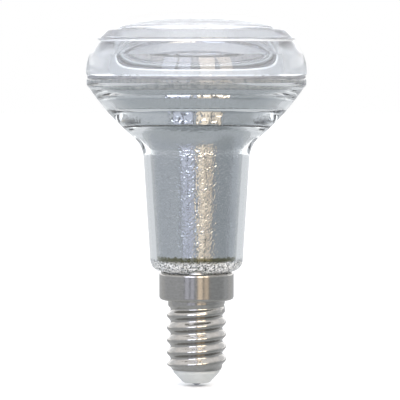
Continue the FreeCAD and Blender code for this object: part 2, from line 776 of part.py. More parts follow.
def on_board(x_size, depth, z_size, x, z_low, side):
    """A flat component on the front (side -1) or back (side 1) of the driver board."""
    return block(x_size, depth, z_size, x, side * (FACE_Y + COMPONENT_LIFT + depth / 2), z_low)


def make_bridge_rectifier():
    return on_board(BRIDGE_WIDTH, BRIDGE_DEPTH, BRIDGE_HEIGHT, 0, Z_DRIVER + BRIDGE_LIFT, 1)


def make_driver_chip():
    return on_board(CHIP_WIDTH, CHIP_DEPTH, CHIP_HEIGHT, 0, Z_DRIVER_TOP - CHIP_DROP, 1)


def make_output_diode():
    return on_board(OUTPUT_DIODE_WIDTH, OUTPUT_DIODE_DEPTH, OUTPUT_DIODE_HEIGHT, OUTPUT_DIODE_X,
                    Z_DRIVER_TOP - OUTPUT_DIODE_DROP, 1)


def make_chip_resistors():
    """Two rows of flat resistors beside the chip."""
    parts = []
    for i in range(CHIP_RESISTOR_COUNT):
        x = CHIP_RESISTOR_X + CHIP_RESISTOR_ROW * (i % 2)
        z_low = Z_DRIVER_TOP - CHIP_RESISTOR_DROP + CHIP_RESISTOR_RISE * (i // 2)
        parts.append(on_board(CHIP_RESISTOR_WIDTH, CHIP_RESISTOR_DEPTH, CHIP_RESISTOR_HEIGHT, x, z_low, 1))
    return Part.makeCompound(parts)


def make_pin_header():
    """Plastic foot that carries the two pins at the top of the driver board."""
    z_low = Z_DRIVER_TOP - HEADER_DROP
    body = block(2 * PIN_PITCH, 2 * (-PIN_Y - FACE_Y), HEADER_HEIGHT, 0, PIN_Y, z_low)
    for side in (-1, 1):
        body = body.cut(block(PIN_SIDE, PIN_SIDE, HEADER_HEIGHT, side * PIN_PITCH / 2, PIN_Y, z_low))
    return body


def make_header_pins():
    z_low = Z_DRIVER_TOP - PIN_DROP
    z_high = Z_BOARD_TOP + SOCKET_HEIGHT - PIN_END
    pins = [block(PIN_SIDE, PIN_SIDE, z_high - z_low, side * PIN_PITCH / 2, PIN_Y, z_low) for side in (-1, 1)]
    return Part.makeCompound(pins)


# Leads to the cap.

LIVE_X = 2.6
LIVE_Y = -(FACE_Y + LEAD_R)
Z_ELBOW = Z_LIP + INSULATOR_PLUG_HEIGHT + 0.6
Z_RESISTOR = Z_ELBOW + 2.6


def wire_path(places, radius):
    """Straight runs joined by tangent arcs."""
    edges = []
    last = places[0]
    for before, corner, after in zip(places, places[1:], places[2:]):
        into = (corner - before).normalize()
        out = (after - corner).normalize()
        turn = into.getAngle(out)
        reach = radius * math.tan(turn / 2)
        start = corner - into * reach
        end = corner + out * reach
        inwards = (out - into).normalize()
        middle = corner + inwards * (radius / math.cos(turn / 2) - radius)
        edges.append(Part.LineSegment(last, start).toShape())
        edges.append(Part.Arc(start, middle, end).toShape())
        last = end
    edges.append(Part.LineSegment(last, places[-1]).toShape())
    return Part.Wire(edges)


def wire_tube(places, bend_radius, wire_radius):
    path = wire_path(places, bend_radius)
    across = Part.Wire([Part.makeCircle(wire_radius, places[0], (places[1] - places[0]).normalize())])
    return path.makePipeShell([across], True, False)


def make_fusible_resistor():
    """Axial resistor in the live lead: body with end caps, one lead on the board and one down in the eyelet."""
    top = Z_RESISTOR + RESISTOR_LENGTH
    waist = RESISTOR_R - 0.15
    body = turned([
        (0, Z_RESISTOR),
        (RESISTOR_R, Z_RESISTOR, 0.25),
        (RESISTOR_R, Z_RESISTOR + RESISTOR_CAP),
        (waist, Z_RESISTOR + RESISTOR_CAP + 0.3),
        (waist, top - RESISTOR_CAP - 0.3),
        (RESISTOR_R, top - RESISTOR_CAP),
        (RESISTOR_R, top, 0.25),
        (0, top),
        (0, Z_RESISTOR),
    ])
    body.translate(FreeCAD.Vector(LIVE_X, LIVE_Y, 0))
    upper = rod(LEAD_R, Z_DRIVER - TONGUE_LENGTH + LIVE_LAP - top, LIVE_X, LIVE_Y, top)
    lower = wire_tube([
        FreeCAD.Vector(LIVE_X, LIVE_Y, Z_RESISTOR),
        FreeCAD.Vector(LIVE_X, LIVE_Y, Z_ELBOW + 1.7),
        FreeCAD.Vector(0, 0, Z_ELBOW),
        FreeCAD.Vector(0, 0, Z_NOSE + EYELET_LENGTH / 3),
    ], LEAD_BEND, LEAD_R)
    return body.fuse(upper).fuse(lower)


def make_neutral_lead():
    """Bare lead from the board's tongue, under the end of the stub and up its groove to the rim."""
    x = -1.6
    y_board = -(FACE_Y + NEUTRAL_R)
    y_groove = -(STUB_R - GROOVE_DEPTH / 2)
    z_low = (Z_STUB + Z_STEP + CAP_SHEET) / 2
    return wire_tube([
        FreeCAD.Vector(x, y_board, z_low + NEUTRAL_RISE),
        FreeCAD.Vector(x, y_board, z_low),
        FreeCAD.Vector(0, y_groove, z_low),
        FreeCAD.Vector(0, y_groove, Z_RIM),
    ], NEUTRAL_BEND, NEUTRAL_R)


def make_neutral_solder():
    """Solder joint of the neutral lead on the skirt's rim, inside the notch of the glass."""
    stretch = FreeCAD.Matrix()
    stretch.scale(SOLDER_LENGTH, SOLDER_DEPTH, SOLDER_HEIGHT)
    blob = Part.makeSphere(1.0).transformGeometry(stretch)
    blob.translate(FreeCAD.Vector(0, -(STUB_R - GROOVE_DEPTH + SOLDER_DEPTH + 0.05), Z_RIM))
    below = block(4 * SOLDER_LENGTH, 6 * SOLDER_DEPTH, 2 * SOLDER_HEIGHT, 0, -STUB_R, Z_RIM - 2 * SOLDER_HEIGHT)
    return blob.cut(below)


NODES = {
    "centre_solder": make_centre_solder,
    "centre_contact": make_centre_contact,
    "cap_insulator": make_cap_insulator,
    "cap_shell": make_cap_shell,
    "cap_cement": make_cap_cement,
    "glass_reflector": make_glass_reflector,
    "lens_seal": make_lens_seal,
    "lens": make_lens,
    "board_glue": make_board_glue,
    "diode_board": make_diode_board,
    "diode_housings": make_diode_housings,
    "diode_phosphors": make_diode_phosphors,
    "board_socket": make_board_socket,
    "driver_housing": make_driver_housing,
    "driver_board": make_driver_board,
    "pin_header": make_pin_header,
    "header_pins": make_header_pins,
    "input_capacitor": make_input_capacitor,
    "output_capacitor": make_output_capacitor,
    "choke_core": make_choke_core,
    "choke_winding": make_choke_winding,
    "bridge_rectifier": make_bridge_rectifier,
    "driver_chip": make_driver_chip,
    "output_diode": make_output_diode,
    "chip_resistors": make_chip_resistors,
    "fusible_resistor": make_fusible_resistor,
    "neutral_lead": make_neutral_lead,
    "neutral_solder": make_neutral_solder,
}

os.makedirs("parts", exist_ok=True)
for name, make in NODES.items():
    shape = make()
    shape.exportStep("parts/" + name + ".step")
    box = shape.BoundBox
    print(f"{name:18s} solids {len(shape.Solids):2d} valid {shape.isValid()} volume {shape.Volume:9.2f} "
          f"r {box.XMax:6.2f} z {box.ZMin:6.2f} to {box.ZMax:6.2f}")
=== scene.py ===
import math

import bmesh
import bpy
from mathutils import Matrix, Vector


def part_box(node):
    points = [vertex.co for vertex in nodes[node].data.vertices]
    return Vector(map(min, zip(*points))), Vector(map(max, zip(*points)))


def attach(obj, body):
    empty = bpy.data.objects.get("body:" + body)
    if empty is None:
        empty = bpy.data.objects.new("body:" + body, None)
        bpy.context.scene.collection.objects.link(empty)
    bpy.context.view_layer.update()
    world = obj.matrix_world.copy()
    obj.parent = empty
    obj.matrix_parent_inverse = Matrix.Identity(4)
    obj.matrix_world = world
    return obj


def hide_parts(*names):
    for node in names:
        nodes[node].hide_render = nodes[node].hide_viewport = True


# The lamp stands on the tip of its centre contact, with its lens up. Sizes in this file are in millimetres.
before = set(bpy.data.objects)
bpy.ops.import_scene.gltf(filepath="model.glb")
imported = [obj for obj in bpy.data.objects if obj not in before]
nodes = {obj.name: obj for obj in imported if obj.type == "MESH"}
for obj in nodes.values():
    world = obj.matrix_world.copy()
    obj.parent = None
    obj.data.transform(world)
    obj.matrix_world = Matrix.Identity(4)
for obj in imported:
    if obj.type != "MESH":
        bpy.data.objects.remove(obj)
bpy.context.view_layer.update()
MM = 0.001


# Centre contact: a small plate of brass pressed on to the insulator and closed with a button of solder.
# Both are coloured a dark navy: painted shade and a painted reflection of the dim room below the lamp.
def finish_named(name, metallic, roughness, colour):
    material = bpy.data.materials.new(name)
    material.use_nodes = True
    shader = material.node_tree.nodes["Principled BSDF"]
    shader.inputs["Metallic"].default_value = metallic
    shader.inputs["Roughness"].default_value = roughness
    shader.inputs["Base Color"].default_value = (*colour, 1.0)
    return material


def shader_of(material):
    return material.node_tree.nodes["Principled BSDF"]


def add(material, kind, **values):
    """A new node of the material, with its inputs or properties set by name."""
    node = material.node_tree.nodes.new(kind)
    for name, value in values.items():
        if name in node.inputs:
            node.inputs[name].default_value = value
        else:
            setattr(node, name, value)
    return node


def join(material, source, output, target, socket):
    material.node_tree.links.new(source.outputs[output], target.inputs[socket])


def grain(material, size, stretch=(1, 1, 1), detail=3.0):
    """Noise whose lumps are about size millimetres across, drawn out by stretch."""
    where = add(material, "ShaderNodeTexCoord")
    scale = add(material, "ShaderNodeMapping", Scale=tuple(1 / (size * MM * s) for s in stretch))
    noise = add(material, "ShaderNodeTexNoise", Scale=1.0, Detail=detail)
    join(material, where, "Object", scale, "Vector")
    join(material, scale, "Vector", noise, "Vector")
    return noise


def tones(material, source, output, stops):
    """A ramp of colours; each stop is a position and a colour, from the lowest position to the highest."""
    ramp = add(material, "ShaderNodeValToRGB")
    marks = ramp.color_ramp.elements
    for mark, (position, colour) in zip(marks, (stops[0], stops[-1])):
        mark.position = position
        mark.color = (*colour, 1.0)
    for position, colour in stops[1:-1]:
        marks.new(position).color = (*colour, 1.0)
    join(material, source, output, ramp, "Fac")
    return ramp


def ranged(material, source, output, low, high, to_low=0.0, to_high=1.0):
    """Carries values from low to high over to values from to_low to to_high, and holds them beyond."""
    carried = add(material, "ShaderNodeMapRange")
    carried.inputs["From Min"].default_value = low
    carried.inputs["From Max"].default_value = high
    carried.inputs["To Min"].default_value = to_low
    carried.inputs["To Max"].default_value = to_high
    join(material, source, output, carried, "Value")
    return carried


def mottle(material, noise, dark, light, low=0.35, high=0.65):
    """Colours the surface between two tones by the noise."""
    ramp = tones(material, noise, "Fac", [(low, dark), (high, light)])
    join(material, ramp, "Color", shader_of(material), "Base Color")


def roughen(material, noise, depth, low, high):
    """Relief of that depth in millimetres, and a roughness that wanders between two values."""
    bump = add(material, "ShaderNodeBump", Distance=depth * MM, Strength=1.0)
    join(material, noise, "Fac", bump, "Height")
    join(material, bump, "Normal", shader_of(material), "Normal")
    spread = ranged(material, noise, "Fac", 0.0, 1.0, low, high)
    join(material, spread, "Result", shader_of(material), "Roughness")


def dress(node, material):
    for slot in nodes[node].material_slots:
        slot.material = material


dark_painted_brass = finish_named("brass_painted_dark", 1.0, 0.35, (0.2, 0.2, 0.24))
dark_brass_grain = grain(dark_painted_brass, 0.4)
# The dark navy tones of the contact are painted shade and a painted reflection of the dim room.
mottle(dark_painted_brass, dark_brass_grain, (0.03, 0.035, 0.055), (0.09, 0.095, 0.14))
roughen(dark_painted_brass, dark_brass_grain, 0.01, 0.25, 0.5)
dress("centre_contact", dark_painted_brass)

cap_solder = finish_named("cap_solder", 1.0, 0.3, (0.5, 0.5, 0.52))
solder_grain = grain(cap_solder, 0.6)
# The dark navy tones of the solder button are painted shade and a painted reflection of the dim room.
mottle(cap_solder, solder_grain, (0.04, 0.045, 0.08), (0.16, 0.165, 0.22))
roughen(cap_solder, solder_grain, 0.03, 0.2, 0.45)
dress("centre_solder", cap_solder)


# Insulator: a cone of white thermoplastic, moulded smooth, that carries the contact.
# The rolled end of the shell holds it by the plug on its back.
insulator_white = finish_named("insulator_white", 0.0, 0.3, (0.78, 0.80, 0.82))
insulator_grain = grain(insulator_white, 2.0)
mottle(insulator_white, insulator_grain, (0.45, 0.47, 0.465), (0.50, 0.52, 0.515))
roughen(insulator_white, insulator_grain, 0.004, 0.25, 0.4)
shader_of(insulator_white).inputs["Coat Weight"].default_value = 0.3
dress("cap_insulator", insulator_white)


# Cap shell: one thin sheet, drawn to a cup, rolled to the thread and plated with nickel.
# Turning left fine lines round the skirt, so it reflects sharply from side to side and softly up and down.
satin_nickel = finish_named("satin_nickel", 1.0, 0.16, (0.42, 0.405, 0.38))
turning_lines = grain(satin_nickel, 0.25, stretch=(3, 3, 1.5), detail=4.0)
shader_of(satin_nickel).inputs["Anisotropic"].default_value = 0.8
round_axis = add(satin_nickel, "ShaderNodeTangent", direction_type="RADIAL", axis="Z")
join(satin_nickel, round_axis, "Tangent", shader_of(satin_nickel), "Tangent")
mottle(satin_nickel, turning_lines, (0.44, 0.42, 0.39), (0.50, 0.48, 0.45), 0.3, 0.7)
roughen(satin_nickel, turning_lines, 0.003, 0.1, 0.17)
dress("cap_shell", satin_nickel)


# Cement: a coarse beige paste, baked hard, that holds the glass stub in the skirt.
# The neutral lead is bare tinned wire. It comes up beside the cement and is soldered in the notch of the glass.
cement = finish_named("cement", 0.0, 0.85, (0.65, 0.6, 0.48))
cement_grain = grain(cement, 0.3)
mottle(cement, cement_grain, (0.55, 0.50, 0.40), (0.72, 0.68, 0.58))
roughen(cement, cement_grain, 0.05, 0.75, 0.95)
dress("cap_cement", cement)

tinned_wire = finish_named("tinned_wire", 1.0, 0.3, (0.72, 0.72, 0.73))
wire_grain = grain(tinned_wire, 0.15, stretch=(1, 1, 8))
mottle(tinned_wire, wire_grain, (0.62, 0.62, 0.63), (0.78, 0.78, 0.79))
roughen(tinned_wire, wire_grain, 0.005, 0.2, 0.4)
dress("neutral_lead", tinned_wire)

tin_solder = finish_named("tin_solder", 1.0, 0.4, (0.86, 0.86, 0.85))
tin_grain = grain(tin_solder, 0.3)
mottle(tin_solder, tin_grain, (0.70, 0.70, 0.69), (0.92, 0.92, 0.91))
roughen(tin_solder, tin_grain, 0.04, 0.3, 0.5)
dress("neutral_solder", tin_solder)


# Glass body: pressed in one piece, with a stub for the cap, a long neck, a flare, a cone and a rim bead.
# It is clear, and everything behind it that looks grey is the mirror inside.
glass_low, glass_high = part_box("glass_reflector")
STUB_LENGTH = 5.5
STUB_R = 7.45
STUB_BORE_R = 6.2
STUB_EDGE = 0.3
Z_STUB = glass_low[2] / MM
Z_GLASS = Z_STUB + STUB_LENGTH
Z_MOUTH = glass_high[2] / MM

BEAD_R = glass_high[0] / MM
BEAD_CORNER = 0.7
BEAD_STEP = 0.5              # from the cone out to the bead
MOUTH_WALL = 1.9
MOUTH_R = BEAD_R - MOUTH_WALL
MOUTH_BORE = 0.6             # straight stretch under the mouth, for the spigot of the lens
MOUTH_CORNER = 0.3

NECK_R = 10.53
NECK_CORNER = 2.6
NECK_INNER_CORNER = 1.5
NECK_TAPER = 3.6             # degrees from the axis, as are all the angles of the glass
NECK_LENGTH = 23.4
NECK_WALL = 1.5
NECK_FLOOR = 1.6
FLARE_R = 6.7
CONE_LOW_ANGLE = 50.0
CONE_HIGH_ANGLE = 33.6
CONE_WALL = 2.1
THROAT_R = 8.6
THROAT_ANGLE = 60.0
LEDGE_HEIGHT = 8.3           # ledge over the top of the neck's flank
RECESS_R = 15.9
RECESS_TOP_R = 16.75
RECESS_DEPTH = 3.7
STEP_RISE = 5.84             # steep step in the mirrored cone, over the ledge
STEP_HEIGHT = 0.9
STEP_DRAFT = 10.0
STEP_LEDGE = 0.4
STEP_EDGE = 0.1


def curl(start, radius, angle_from, angle_to, steps):
    """Points on an arc from a point (r, z) that turns between two directions, in degrees from the axis."""
    side = 1 if angle_to > angle_from else -1
    a = math.radians(angle_from)
    points = []
    for i in range(1, steps + 1):
        b = math.radians(angle_from + (angle_to - angle_from) * i / steps)
        r = start[0] + side * radius * (math.cos(a) - math.cos(b))
        z = start[1] + side * radius * (math.sin(b) - math.sin(a))
        points.append((r, z))
    return points


# The outer side, from the underside of the neck up to the mouth.
TAPER = math.tan(math.radians(NECK_TAPER))
outside = [(NECK_R - NECK_CORNER, Z_GLASS)]
outside += curl(outside[-1], NECK_CORNER, 90.0, NECK_TAPER, 16)
NECK_LOW = outside[-1]
NECK_HIGH = (NECK_LOW[0] + NECK_LENGTH * TAPER, NECK_LOW[1] + NECK_LENGTH)
outside.append(NECK_HIGH)
outside += curl(NECK_HIGH, FLARE_R, NECK_TAPER, CONE_LOW_ANGLE, 12)
CONE_LOW = outside[-1]
COS_LOW = math.cos(math.radians(CONE_LOW_ANGLE))
COS_HIGH = math.cos(math.radians(CONE_HIGH_ANGLE))
CONE_R = (BEAD_R - BEAD_STEP - CONE_LOW[0]) / (COS_HIGH - COS_LOW)
outside += curl(CONE_LOW, CONE_R, CONE_LOW_ANGLE, CONE_HIGH_ANGLE, 10)
Z_BEAD = outside[-1][1]
outside += [(BEAD_R - 0.15, Z_BEAD + 0.3), (BEAD_R - 0.02, Z_BEAD + 0.55), (BEAD_R, Z_MOUTH - BEAD_CORNER)]
outside += curl(outside[-1], BEAD_CORNER, 0.0, -90.0, 4)

Z_LEDGE = NECK_HIGH[1] + LEDGE_HEIGHT
Z_SHOULDER = Z_LEDGE + RECESS_DEPTH
Z_THROAT = Z_LEDGE - THROAT_R * (math.sin(math.radians(THROAT_ANGLE)) - math.sin(math.radians(NECK_TAPER)))
Z_STEP_LOW = Z_LEDGE + STEP_RISE
Z_STEP_HIGH = Z_STEP_LOW + STEP_HEIGHT
Z_FLOOR = Z_GLASS + NECK_FLOOR


def inner_cone(z):
    """The cone's inner side has the centre of its outer side, so that the wall is even."""
    r_centre = CONE_LOW[0] - CONE_R * COS_LOW
    z_centre = CONE_LOW[1] + CONE_R * math.sin(math.radians(CONE_LOW_ANGLE))
    return (r_centre + math.sqrt((CONE_R - CONE_WALL) ** 2 - (z_centre - z) ** 2), z)


def neck_inner_r(z):
    return NECK_LOW[0] - NECK_WALL + (z - NECK_LOW[1]) * TAPER


# The inner side that the mirror lies on, from the floor of the neck up to the step in the cone.
z_corner = Z_FLOOR + NECK_INNER_CORNER * (1 - math.sin(math.radians(NECK_TAPER)))
floor_r = neck_inner_r(z_corner) - NECK_INNER_CORNER * math.cos(math.radians(NECK_TAPER))
mirrored = [(floor_r, Z_FLOOR)]
mirrored += curl(mirrored[-1], NECK_INNER_CORNER, 90.0, NECK_TAPER, 10)
mirrored.append((neck_inner_r(Z_THROAT), Z_THROAT))
mirrored += curl(mirrored[-1], THROAT_R, NECK_TAPER, THROAT_ANGLE, 10)
mirrored += [(RECESS_R - 0.25, Z_LEDGE), (RECESS_R - 0.05, Z_LEDGE + 0.06), (RECESS_R + 0.05, Z_LEDGE + 0.22)]
mirrored += [(RECESS_TOP_R - 0.09, Z_SHOULDER - 0.38), (RECESS_TOP_R + 0.05, Z_SHOULDER - 0.1),
             (RECESS_TOP_R + 0.38, Z_SHOULDER)]
mirrored += [inner_cone(Z_SHOULDER + (Z_STEP_LOW - Z_SHOULDER) * i / 5) for i in range(6)]
STEP_R = mirrored[-1][0] + STEP_HEIGHT * math.tan(math.radians(STEP_DRAFT))
STEP_TOP = (STEP_R + STEP_LEDGE, Z_STEP_HIGH + STEP_EDGE)
mirrored += [(STEP_R, Z_STEP_HIGH), (STEP_R + 0.3, Z_STEP_HIGH + 0.02), STEP_TOP]

# The bore of the mouth above the mirror, and the bore and the outside of the stub below it.
BORE_LOW = (MOUTH_R, Z_MOUTH - MOUTH_BORE)
BORE_HIGH = (MOUTH_R, Z_MOUTH - MOUTH_CORNER)
mouth = [BORE_LOW, BORE_HIGH] + curl(BORE_HIGH, MOUTH_CORNER, 0.0, 90.0, 2)
stub = [(STUB_BORE_R + 0.5, Z_FLOOR), (STUB_BORE_R + 0.05, Z_FLOOR - 0.4), (STUB_BORE_R, Z_FLOOR - 0.6),
        (STUB_BORE_R, Z_STUB + STUB_EDGE), (STUB_BORE_R + STUB_EDGE, Z_STUB), (STUB_R - STUB_EDGE, Z_STUB),
        (STUB_R, Z_STUB + STUB_EDGE), (STUB_R, Z_GLASS)]


def piece_of(shape, name):
    """Makes an object of a finished shape and puts it into the scene."""
    mesh = bpy.data.meshes.new(name)
    shape.to_mesh(mesh)
    shape.free()
    piece = bpy.data.objects.new(name, mesh)
    bpy.context.collection.objects.link(piece)
    return piece


def divide(shape, longest):
    """Divides the edges of an outline, so that none is longer than longest(z) says for its height."""
    for edge in list(shape.edges):
        z_middle = (edge.verts[0].co.z + edge.verts[1].co.z) / 2 / MM
        cuts = int(edge.calc_length() / (longest(z_middle) * MM))
        if cuts:
            bmesh.ops.subdivide_edges(shape, edges=[edge], cuts=cuts)


ON_AXIS = 0.001


def turned(name, outline, closed, steps=288, sharp=30.0, longest=None):
    """Spins an outline of points (r, z) round the axis. Edges bent by more than sharp degrees stay sharp."""
    shape = bmesh.new()
    corners = [shape.verts.new((r * MM, 0, z * MM)) for r, z in outline]
    runs = list(zip(corners, corners[1:]))
    if closed:
        runs.append((corners[-1], corners[0]))
    for run in runs:
        if max(corner.co.x for corner in run) > ON_AXIS * MM:
            shape.edges.new(run)
    if longest:
        divide(shape, longest)
    bmesh.ops.spin(shape, geom=shape.verts[:] + shape.edges[:], cent=(0, 0, 0), axis=(0, 0, 1), dvec=(0, 0, 0),
                   angle=2 * math.pi, steps=steps, use_merge=True, use_duplicate=False)
    bmesh.ops.remove_doubles(shape, verts=shape.verts, dist=ON_AXIS * MM / 10)
    bmesh.ops.recalc_face_normals(shape, faces=shape.faces)
    for face in shape.faces:
        face.smooth = True
    for edge in shape.edges:
        edge.smooth = not edge.is_manifold or edge.calc_face_angle() < math.radians(sharp)
    return piece_of(shape, name)


def place(piece, material, slot, *replaced):
    piece.data.materials.append(material)
    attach(piece, "root")
    if replaced:
        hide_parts(*replaced)


def height_on(material):
    """The place on the piece, split so that its height is the output Z."""
    where = add(material, "ShaderNodeTexCoord")
    split = add(material, "ShaderNodeSeparateXYZ")
    join(material, where, "Object", split, "Vector")
    return split


def feed(material, value, target, socket):
    """Sets a socket to a constant, or joins it where the value is a node with the name of its output."""
    if isinstance(value, tuple) and isinstance(value[0], bpy.types.Node):
        join(material, *value, target, socket)
    else:
        target.inputs[socket].default_value = value


def worked_out(material, operation, *terms):
    """A sum, a product or the like; each term is a number, or a node with the name of its output."""
    result = add(material, "ShaderNodeMath", operation=operation)
    for i, term in enumerate(terms):
        feed(material, term, result, i)
    return result


clear_glass = finish_named("clear_glass", 0.0, 0.0, (0.975, 0.985, 0.98))
shader_of(clear_glass).inputs["Transmission Weight"].default_value = 1.0
shader_of(clear_glass).inputs["IOR"].default_value = 1.5
pressed_ripple = grain(clear_glass, 3.0, detail=2.0)
ripple_bump = add(clear_glass, "ShaderNodeBump", Distance=0.006 * MM)
join(clear_glass, pressed_ripple, "Fac", ripple_bump, "Height")

# The foot of the neck is uneven and sparkles, with specks of frost that fade out a little over the floor.
Z_FROST_TOP = Z_FLOOR + 1.3
Z_FROST_FULL = Z_FLOOR + 0.3
FROST_MOST = 0.65
foot_grain = grain(clear_glass, 0.5, detail=1.0)
foot_fade = ranged(clear_glass, height_on(clear_glass), "Z", Z_FROST_TOP * MM, Z_FROST_FULL * MM)
foot_bump = add(clear_glass, "ShaderNodeBump", Distance=0.22 * MM)
join(clear_glass, foot_fade, "Result", foot_bump, "Strength")
join(clear_glass, foot_grain, "Fac", foot_bump, "Height")
join(clear_glass, ripple_bump, "Normal", foot_bump, "Normal")
join(clear_glass, foot_bump, "Normal", shader_of(clear_glass), "Normal")
frost_grain = grain(clear_glass, 0.35, detail=2.0)
frost = ranged(clear_glass, frost_grain, "Fac", 0.46, 0.56, 0.0, FROST_MOST)
frosted = worked_out(clear_glass, "MULTIPLY", (frost, "Result"), (foot_fade, "Result"))
clear_share = worked_out(clear_glass, "SUBTRACT", 1.0, (frosted, "Value"))
join(clear_glass, clear_share, "Value", shader_of(clear_glass), "Transmission Weight")

glass_body = turned("glass_body", outside + list(reversed(mirrored + mouth)) + stub, closed=True)


def cut(piece, shape):
    """Takes a shape out of a piece, for good."""
    cutter = piece_of(shape, "cutter")
    knife = piece.modifiers.new("cut", "BOOLEAN")
    knife.object = cutter
    carved = bpy.data.meshes.new_from_object(piece.evaluated_get(bpy.context.evaluated_depsgraph_get()))
    piece.modifiers.remove(knife)
    piece.data = carved
    bpy.data.objects.remove(cutter)


# The neutral lead comes up a groove in the stub and is soldered in an arched notch at the front of the neck.
NOTCH_R = 2.1
NOTCH_RISE = 0.9
NOTCH_LENGTH = 8.0
GROOVE_WIDTH = 0.9
GROOVE_DEPTH = 0.5
notch = bmesh.new()
bmesh.ops.create_cone(notch, cap_ends=True, segments=96, radius1=NOTCH_R * MM, radius2=NOTCH_R * MM,
                      depth=NOTCH_LENGTH * MM)
notch_middle = Vector((0, GROOVE_DEPTH - STUB_R - NOTCH_LENGTH / 2, Z_GLASS + NOTCH_RISE - NOTCH_R))
lie_down = Matrix.Rotation(math.pi / 2, 4, "X")
bmesh.ops.transform(notch, matrix=Matrix.Translation(notch_middle * MM) @ lie_down, verts=notch.verts)
cut(glass_body, notch)

groove = bmesh.new()
bmesh.ops.create_cube(groove, size=1.0)
bmesh.ops.scale(groove, verts=groove.verts, vec=Vector((GROOVE_WIDTH, 2 * GROOVE_DEPTH, STUB_LENGTH)) * MM)
bmesh.ops.translate(groove, verts=groove.verts, vec=Vector((0, -STUB_R, Z_STUB + STUB_LENGTH / 2)) * MM)
cut(glass_body, groove)


# Mirror: aluminium laid on the inside of the glass, from the floor of the neck to just under the mouth.
# The moulded inside is pebbled like orange peel, and the coat is thin and brown at the foot of the neck.
Z_COAT_THIN = 27.5
Z_COAT_FULL = 30.5
COAT_WANDER = 0.5            # how far the brown edge wanders, as a share of the height between
COAT_TONES = [(0.0, (0.60, 0.60, 0.56)), (0.22, (0.50, 0.48, 0.38)), (0.36, (0.15, 0.14, 0.06)),
              (0.64, (0.20, 0.19, 0.09)), (0.75, (0.65, 0.66, 0.675))]
mirror = finish_named("mirror_coat", 1.0, 0.08, (0.62, 0.635, 0.65))
coat_grain = grain(mirror, 0.5, detail=3.0)
over_foot = ranged(mirror, height_on(mirror), "Z", Z_COAT_THIN * MM, Z_COAT_FULL * MM)
wander = worked_out(mirror, "MULTIPLY_ADD", (coat_grain, "Fac"), COAT_WANDER, -COAT_WANDER / 2)
edge_of_coat = worked_out(mirror, "ADD", (over_foot, "Result"), (wander, "Value"))
coat_tones = tones(mirror, edge_of_coat, "Value", COAT_TONES)
specks = grain(mirror, 0.22, detail=1.0)
speck_tone = ranged(mirror, specks, "Fac", 0.3, 0.55, 0.85, 1.0)
speckled = add(mirror, "ShaderNodeVectorMath", operation="SCALE")
join(mirror, coat_tones, "Color", speckled, 0)
join(mirror, speck_tone, "Result", speckled, "Scale")
join(mirror, speckled, "Vector", shader_of(mirror), "Base Color")

COAT_GAP = 0.09
COAT_DEPTH = 1.9             # the coat ends this far under the mouth
Z_COAT_END = Z_MOUTH - COAT_DEPTH
coat_share = (Z_COAT_END - STEP_TOP[1]) / (BORE_LOW[1] - STEP_TOP[1])
COAT_END = (STEP_TOP[0] + (BORE_LOW[0] - STEP_TOP[0]) * coat_share - COAT_GAP, Z_COAT_END)
coat_outline = [(r - COAT_GAP, z + COAT_GAP / 2) for r, z in mirrored] + [COAT_END]
FINE_GRID = 0.155
WIDE_GRID = 0.36


def pebble_grid(z):
    """The neck is nearest to the eye as a mirror, so its pebbles are the finest."""
    share = (z - NECK_HIGH[1]) / (Z_LEDGE - NECK_HIGH[1])
    return FINE_GRID + (WIDE_GRID - FINE_GRID) * min(max(share, 0.0), 1.0)


mirror_coat = turned("mirror_coat", coat_outline, closed=False, steps=384, longest=pebble_grid)
pebbles = bpy.data.textures.new("pebbles", "CLOUDS")
pebbles.noise_scale = 0.27 * MM
pebbles.noise_depth = 1
relief = mirror_coat.modifiers.new("pebbles", "DISPLACE")
relief.texture = pebbles
relief.texture_coords = "LOCAL"
relief.strength = 0.22 * MM
relief.mid_level = 0.5
place(mirror_coat, mirror, "glass_reflector")
place(glass_body, clear_glass, "glass_reflector", "glass_reflector")


# Diode board: a white-faced aluminium disc glued to the ledge in the throat.
# Eight yellow diodes stand in a ring round the socket for the pins of the driver.
white_mask = finish_named("white_mask", 0.0, 0.45, (0.86, 0.86, 0.85))
mask_grain = grain(white_mask, 0.5)
mottle(white_mask, mask_grain, (0.82, 0.82, 0.81), (0.88, 0.88, 0.87))
roughen(white_mask, mask_grain, 0.004, 0.35, 0.55)
dress("diode_board", white_mask)

white_moulding = finish_named("white_moulding", 0.0, 0.4, (0.85, 0.85, 0.82))
moulding_grain = grain(white_moulding, 0.4)
mottle(white_moulding, moulding_grain, (0.80, 0.80, 0.77), (0.88, 0.88, 0.85))
roughen(white_moulding, moulding_grain, 0.004, 0.3, 0.5)
dress("diode_housings", white_moulding)
dress("board_socket", white_moulding)

phosphor = finish_named("phosphor", 0.0, 0.25, (0.9, 0.72, 0.2))
phosphor_grain = grain(phosphor, 0.15)
mottle(phosphor, phosphor_grain, (0.85, 0.62, 0.12), (0.95, 0.80, 0.28))
roughen(phosphor, phosphor_grain, 0.004, 0.2, 0.35)
dress("diode_phosphors", phosphor)

silicone = finish_named("silicone", 0.0, 0.3, (0.85, 0.85, 0.83))
silicone_grain = grain(silicone, 0.8)
mottle(silicone, silicone_grain, (0.80, 0.80, 0.78), (0.88, 0.88, 0.86))
roughen(silicone, silicone_grain, 0.01, 0.25, 0.4)
shader_of(silicone).inputs["Transmission Weight"].default_value = 0.5
dress("board_glue", silicone)


# Seal: a ring of the same silicone, laid on the bead before the lens is pressed on.
# Some of it was squeezed inwards over the bore of the mouth, and grey sealant fills the seam outside.
dress("lens_seal", silicone)

